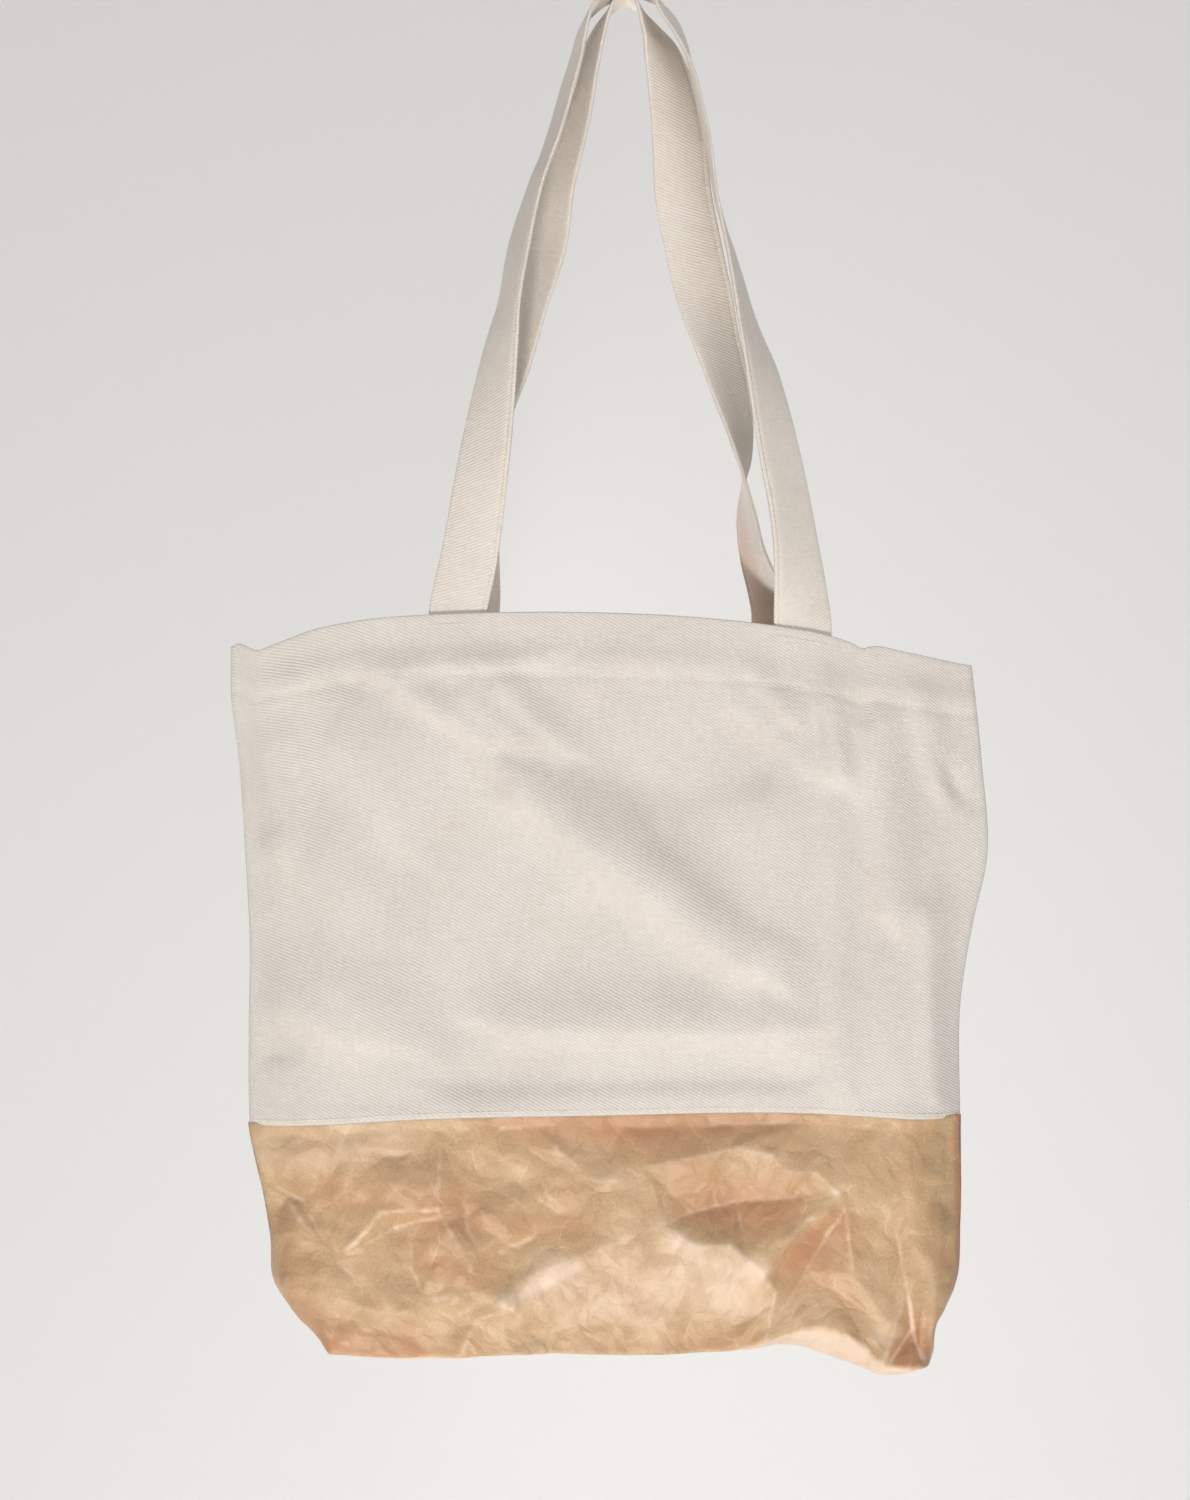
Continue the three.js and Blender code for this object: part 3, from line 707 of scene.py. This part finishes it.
# Route of each handle from its left root to its right: across, depth, height above the hem, turn.
FRONT_ROUTE = [
    (-84, -11.7, -25, 0), (-84, -11.7, -10, 0), (-84, -11.7, 0, 0), (-78.5, -11.8, 28, 6),
    (-72.5, -12, 67, 22), (-67, -12, 103, 37), (-61.5, -11.5, 139, 54), (-58.3, -11, 157, 65),
    (-53, -10, 187, 66), (-45, -8.5, 217, 72), (-37.2, -7.5, 238, 73), (-25.7, -5.5, 277, 75),
    (-18, -4.5, 304, 82), (-9, -4, 313.5, 88), (3, -4, 317.9, 90), (14, -4, 313.5, 101),
    (21.5, -4.2, 304, 112), (26.7, -4.5, 295, 107), (33.5, -5, 277, 95), (38.5, -5.7, 256, 91.5),
    (42.2, -6.5, 238, 91.5), (46.8, -8, 208, 94), (54, -9.5, 181, 102), (61, -10.7, 151, 111),
    (69.2, -11.5, 121, 128), (77.7, -12, 82, 139), (83, -12, 55, 141), (85.6, -12, 37, 144),
    (88, -11.8, 12, 160), (89, -11.7, -5, 178), (89, -11.7, -18, 180), (89, -11.7, -33, 180),
]
BACK_ROUTE = [
    (-78.5, 11.7, -25, 0), (-78.5, 11.7, -10, 0), (-78.5, 11.7, -3, 0), (-77.5, 11.6, 12, 14),
    (-75.5, 11, 28, 38), (-70, 10, 67, 75), (-65.5, 9.5, 90, 103), (-61, 9, 112, 120),
    (-57.5, 8.7, 125, 127), (-50, 8, 157, 137), (-41, 7.5, 187, 140), (-36, 6.7, 217, 136),
    (-32, 6.3, 232, 133), (-26, 5.7, 253, 127), (-20, 5, 277, 118), (-10.5, 4.2, 304, 104),
    (-5, 4, 311.5, 96), (0.5, 4, 315.2, 90), (6, 4, 311.5, 83), (10.6, 4.2, 305, 72),
    (14.4, 4.5, 298, 62), (17.6, 4.7, 292, 52), (22.2, 5, 277, 38), (26.4, 6, 256, 25),
    (28, 6.5, 241, 14), (29.8, 7.5, 217, 5), (33, 8, 199, 2), (38.8, 8.8, 172, 3),
    (47, 9.5, 142, 30), (55.3, 9.8, 112, 46), (58.7, 9.9, 97, 58), (60.7, 10, 82, 72),
    (61, 10, 73, 84), (62.3, 10.3, 52, 104), (65.8, 10.8, 31, 113), (72.7, 11.3, 13, 130),
    (77.5, 11.6, 4, 158), (80, 11.7, -5, 177), (80, 11.7, -14, 180), (80, 11.7, -33, 180),
]
# Half of the folded section: place across, and half thickness there. The groove takes the stitches.
SECTION = [
    (-14.5, 0.0), (-14.35, 0.6), (-13.9, 0.98), (-13.0, 1.15), (-10.5, 1.2), (-6, 1.22), (-1, 1.24),
    (4, 1.22), (9, 1.18), (11.1, 1.14), (11.6, 0.86), (12.0, 0.6), (12.4, 0.86), (12.9, 1.06),
    (13.6, 1.0), (14.2, 0.7), (14.5, 0.0),
]


def route_frames(route, side, pitch=3.0):
    """Even steps along a handle: point, direction across the strap, direction out of its face."""
    knots = np.array(route, float)
    chord = np.linalg.norm(np.diff(knots[:, :3], axis=0), axis=1) ** 0.6
    at = np.concatenate([[0], np.cumsum(chord)])
    fine = np.linspace(0, at[-1], 4000)
    line = np.stack([follow(list(zip(at, knots[:, k])), fine) for k in range(4)], -1)
    line[:, 2] += HINGE_Z
    length = np.concatenate([[0], np.cumsum(np.linalg.norm(np.diff(line[:, :3], axis=0), axis=1))])
    even = np.linspace(0, length[-1], int(length[-1] / pitch))
    line = np.stack([np.interp(even, length, line[:, k]) for k in range(4)], -1)
    along = np.gradient(line[:, :3], axis=0)
    along /= np.linalg.norm(along, axis=1, keepdims=True)
    turn = np.radians(line[:, 3])
    across = np.stack([np.cos(turn), side * np.sin(turn), 0 * turn], -1)
    across -= along * (across * along).sum(1, keepdims=True)
    across /= np.linalg.norm(across, axis=1, keepdims=True)
    out = side * np.cross(along, across)
    return line[:, :3], across, out, even


def strap_line(route, side, x, height, seed):
    """A line along the strap, at x across it and height out of its middle, with the directions out of its
    face and how far along each point is."""
    points, across, out, at = route_frames(route, side)
    sway = 0.25 * ripple(at, np.full_like(at, np.sign(x) * 40), 23, seed)
    lift = 0.16 * ripple(at, np.full_like(at, x), 11, seed + 1) * np.sign(height)
    return points + (x + sway)[:, None] * across + (height + lift)[:, None] * out, out, at


def strap_mesh(name, route, side, seed):
    ring = SECTION + [(x, -h) for x, h in SECTION[-2:0:-1]]
    lines = [strap_line(route, side, x, h, seed) for x, h in ring]
    grid = np.stack([line[0] for line in lines], 1)
    at = lines[0][2]
    cloth = np.stack([np.stack([np.full_like(at, x + 60 * (h < 0)), at], -1) for x, h in ring], 1)
    # Each point also carries how much painted warm shade its colour takes.
    return make_mesh(name, grid, tube_faces(len(grid), len(ring)), cloth, {"painted_warm_shade": painted_warm_shade(grid)})


def painted_warm_shade(points):
    """Painted warm shade on the back strap's lower ends, standing in for the shade and warm bounce light
    that fall there, strongest at its right root.
    """
    height = points[..., 2] - HEM_Z
    reach = np.where(points[..., 0] > 0, 95, 45)
    behind = ease((points[..., 1] - 8) / 2)
    return behind * ease(1 - height / reach) * np.where(points[..., 0] > 0, 0.45, 0.12)


def bend_at_hem(piece):
    """Bakes the piece's placement into its points; nothing here bends it. The hem lies lower at the right
    root than at the left.
    """
    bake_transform(piece)


strap_twill = cotton_twill("folded cotton twill strap", "#e1dad2", "#d0c6bb", 0.15)
for wall_name, side, route in (("front", -1, FRONT_ROUTE), ("back", 1, BACK_ROUTE)):
    strap = strap_mesh(f"{wall_name}_strap", route, side, STRAP_SEED + side)
    strap.data.materials.append(strap_twill)
    body = f"{wall_name}_handle"
    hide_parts(body, f"{wall_name}_left_handle_end", f"{wall_name}_right_handle_end")
    bend_at_hem(strap)


# ---- The seams inside ------------------------------------------------------------------------------
# The side seams' two allowances are overlocked together and stand inwards. The boxed corners are
# closed by a short seam across each end of the base.


# The side seams run from just under the hem edge to just above the foot. Each corner seam stands on the
# base, this far from the middle and at this height, and reaches this far to the front and the back.
SEAM_START = 0.03
SEAM_END = 1.93
CORNER_X = 147
CORNER_Z = -682
CORNER_REACH = 23


def side_seam(name, outward):
    """A strip of both allowances, whose edge is wrapped by the loops of the overlocking thread."""
    s = np.linspace(SEAM_START, SEAM_END, 560)
    edge = wall(-1, np.full_like(s, outward), s)
    edge[:, 1] = 0
    edge[:, 0] -= outward * 3.2 * ease((s - 0.9) / 0.1)
    loops = np.sin(np.arange(len(s)) * math.pi / 2) * 0.12
    ring = [(1, 0.75), (4, 0.78), (7, 0.8), (8.4, 0.95), (9, 0.5), (9, -0.5), (8.4, -0.95), (7, -0.8),
            (4, -0.78), (1, -0.75)]
    grid = []
    for k, place in enumerate(edge):
        wave = 0.9 * math.sin(k * 0.045)
        grid.append([place + (-outward * (x + (loops[k] if x > 8 else 0) + 0.8),
                              y * (1 + (loops[k] if x > 7 else 0)) + wave * (x / 9) ** 2, 0)
                     for x, y in ring])
    grid = np.array(grid)
    cloth = np.stack(np.meshgrid([p[0] for p in ring], s * 250), -1)
    return make_mesh(name, grid, tube_faces(len(grid), len(ring)), cloth)


for end, outward in (("left", -1), ("right", 1)):
    seam = side_seam(f"{end}_overlocked_seam", outward)
    seam.data.materials.append(canvas_twill)
    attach(seam, "bag")
    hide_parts(f"{end}_side_seam")


def corner_seam(name, end):
    """The allowance of a boxed corner, standing up from the base inside the bag."""
    y = np.linspace(-CORNER_REACH, CORNER_REACH, 90)
    x = np.full_like(y, end * CORNER_X)
    grid = []
    for k, place in enumerate(np.stack([x, y], -1)):
        wave = 0.5 * math.sin(k * 0.3)
        grid.append([(place[0] + dx + wave * dz / 8, place[1], CORNER_Z + dz)
                     for dx, dz in ((-0.8, 0), (-0.8, 6.5), (-0.5, 8), (0.5, 8), (0.8, 6.5), (0.8, 0))])
    grid = np.array(grid)
    cloth = np.stack(np.meshgrid(np.arange(6.0), y), -1)
    return make_mesh(name, grid, tube_faces(len(grid), 6), cloth)


for end, outward in (("left", -1), ("right", 1)):
    seam = corner_seam(f"{end}_boxed_corner", outward)
    seam.data.materials.append(canvas_twill)
    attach(seam, "bag")
    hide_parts(f"{end}_corner_seam")


# ---- The stitching ---------------------------------------------------------------------------------
# Cotton lockstitches 2.3 mm long, one every 2.9 mm. One row holds the hem, one the turned edge over
# the kraft paper, a short one each strap end, and one runs down the open edge of each strap.

STITCH_PITCH = 2.9
STITCH_LENGTH = 2.3
# The thread's radius, the number of sides it is drawn with, and where each strap's row lies: across the
# strap, and out of its middle, at the bottom of the groove.
THREAD = 0.26
THREAD_SIDES = 6
STRAP_ROW_X = 12.0
STRAP_ROW_OUT = 0.76


def stitch_row(name, line, out):
    """Short stitches along a line of points, each sinking into the cloth at both its ends. A last stitch
    that runs past the line's end has no direction there, and its end points come out invalid."""
    length = np.concatenate([[0], np.cumsum(np.linalg.norm(np.diff(line, axis=0), axis=1))])
    points, faces = [], []
    rings = ((-1, 0.35, -0.42), (-0.8, 0.8, -0.14), (-0.35, 1, 0), (0.35, 1, 0), (0.8, 0.8, -0.14),
             (1, 0.35, -0.42))
    for start in np.arange(STITCH_PITCH / 2, length[-1], STITCH_PITCH):
        first = len(points)
        for t, wide, sink in rings:
            at = start + t * STITCH_LENGTH / 2
            centre = np.array([np.interp(at, length, line[:, k]) for k in range(3)])
            normal = np.array([np.interp(at, length, out[:, k]) for k in range(3)])
            along = np.array([np.interp(at + 0.5, length, line[:, k]) for k in range(3)])
            along -= np.array([np.interp(at - 0.5, length, line[:, k]) for k in range(3)])
            along /= np.linalg.norm(along)
            aside = np.cross(along, normal)
            for turn in np.arange(THREAD_SIDES) * math.pi / 3:
                offset = math.cos(turn) * aside + math.sin(turn) * normal
                points.append(centre + offset * THREAD * wide + normal * sink)
        faces += [tuple(first + k for k in face) for face in tube_faces(len(rings), THREAD_SIDES)]
    return make_mesh(name, points, faces)


def wall_line(side, x0, x1, drop):
    """A line of points on the outer face of a wall, and the directions out of it."""
    x = np.linspace(x0, x1, int(abs(x1 - x0) / 1.2))
    s = drop(x) / CANVAS_HEIGHT
    left, right = seams(s)
    u = (x - left) / (right - left) * 2 - 1
    flat_x = mix(CLOTH_LEFT, CLOTH_RIGHT, (u + 1) / 2)
    inset = stitched_in(flat_x, s * CANVAS_HEIGHT, hem_depth(flat_x))
    face = layer(side, u, s, inset - CANVAS / 2 - 0.1)
    out = face - layer(side, u, s, inset)
    return face, out / np.linalg.norm(out, axis=-1, keepdims=True)


def cotton_thread():
    """Undyed cotton thread: a plain matt cream, a touch brighter than the cloth it sits on."""
    material, tree = new_material("cotton thread")
    place = add(tree, "ShaderNodeTexCoord").outputs["Object"]
    fuzz = add(tree, "ShaderNodeTexNoise", {"Vector": place, "Scale": 900.0, "Detail": 2.0})
    colour = add(tree, "ShaderNodeMix", {
        0: fuzz.outputs["Fac"], 6: linear("#cfc4b2"), 7: linear("#ece4d8")}, data_type="RGBA").outputs[2]
    thread = add(tree, "ShaderNodeBsdfPrincipled", {
        "Base Color": colour, "Roughness": 0.8, "Sheen Weight": 0.2, "Specular IOR Level": 0.3})
    add(tree, "ShaderNodeOutputMaterial", {"Surface": thread.outputs[0]})
    return material


thread = cotton_thread()
for wall_name, side, route in (("front", -1, FRONT_ROUTE), ("back", 1, BACK_ROUTE)):
    rows = {
        "hem": wall_line(side, -193, 172, lambda x: hem_depth(x) - 3),
        "join": wall_line(side, -186, 166, lambda x: CANVAS_HEIGHT - 2.5 + 0 * x),
        "left_root": wall_line(side, route[0][0] - 13, route[0][0] + 13, lambda x: 5 + 0 * x),
        "right_root": wall_line(side, route[-1][0] - 13, route[-1][0] + 13, lambda x: 5 + 0 * x),
    }
    for row_name, (line, out) in rows.items():
        row = stitch_row(f"{wall_name}_{row_name}_thread", line, out)
        row.data.materials.append(thread)
        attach(row, "bag")
        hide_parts(f"{wall_name}_{row_name}_stitches")
    line, out, _ = strap_line(route, side, STRAP_ROW_X, STRAP_ROW_OUT, STRAP_SEED + side)
    row = stitch_row(f"{wall_name}_strap_thread", line, out)
    row.data.materials.append(thread)
    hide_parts(f"{wall_name}_handle_stitches")
    bend_at_hem(row)


# ---- The room --------------------------------------------------------------------------------------
# A plain pale wall and floor, far enough off to leave every side of the bag in view, with a large soft
# lamp low in front of the bag and an even pale surround.

def plain(name, colour):
    """Matt painted board in one plain tone, so that nothing in it draws the eye."""
    material, tree = new_material(name)
    board = add(tree, "ShaderNodeBsdfPrincipled", {"Base Color": linear(colour), "Roughness": 0.9})
    add(tree, "ShaderNodeOutputMaterial", {"Surface": board.outputs[0]})
    return material


def panel_of_room(name, corners, colour):
    piece = make_mesh(name, np.array(corners, float), [(0, 1, 2, 3)])
    piece.data.materials.append(plain(name, colour))


REACH = 20000
FLOOR_Z = -2500
WALL_TOP = 4000
BACKDROP_Y = 2400

panel_of_room("floor", [
    (-REACH, -REACH, FLOOR_Z), (REACH, -REACH, FLOOR_Z), (REACH, REACH, FLOOR_Z),
    (-REACH, REACH, FLOOR_Z)], "#eeecea")
panel_of_room("backdrop", [
    (-REACH, BACKDROP_Y, FLOOR_Z), (REACH, BACKDROP_Y, FLOOR_Z), (REACH, BACKDROP_Y, WALL_TOP),
    (-REACH, BACKDROP_Y, WALL_TOP)], "#f2f2f1")

world = bpy.data.worlds.new("surround")
bpy.context.scene.world = world
world.use_nodes = True
world.node_tree.nodes["Background"].inputs["Color"].default_value = linear("#fbfbfb")
world.node_tree.nodes["Background"].inputs["Strength"].default_value = 0.5


def lamp(name, place, aim, size, power, colour):
    light = bpy.data.lights.new(name, "AREA")
    light.shape = "DISK"
    light.size = size
    light.energy = power
    light.color = linear(colour)[:3]
    holder = bpy.data.objects.new(name, light)
    bpy.context.collection.objects.link(holder)
    holder.location = place
    holder.rotation_euler = (Vector(aim) - Vector(place)).to_track_quat("-Z", "Y").to_euler()
    holder.visible_camera = False


lamp("low_front_lamp", (-0.55, -2.15, -2.35), (0, 0, -0.4), 0.5, 61, "#fffaf5")
lamp("upper_fill_lamp", (0.9, -2.1, 0.4), (0, 0, -0.1), 1.4, 15, "#ffffff")
lamp("back_fill_lamp", (-0.9, 2.1, -0.3), (0, 0, -0.4), 1.4, 22, "#ffffff")
lamp("backdrop_lamp", (0, 0.6, -2.3), (0, 2.4, -0.6), 1.2, 10, "#ffffff")
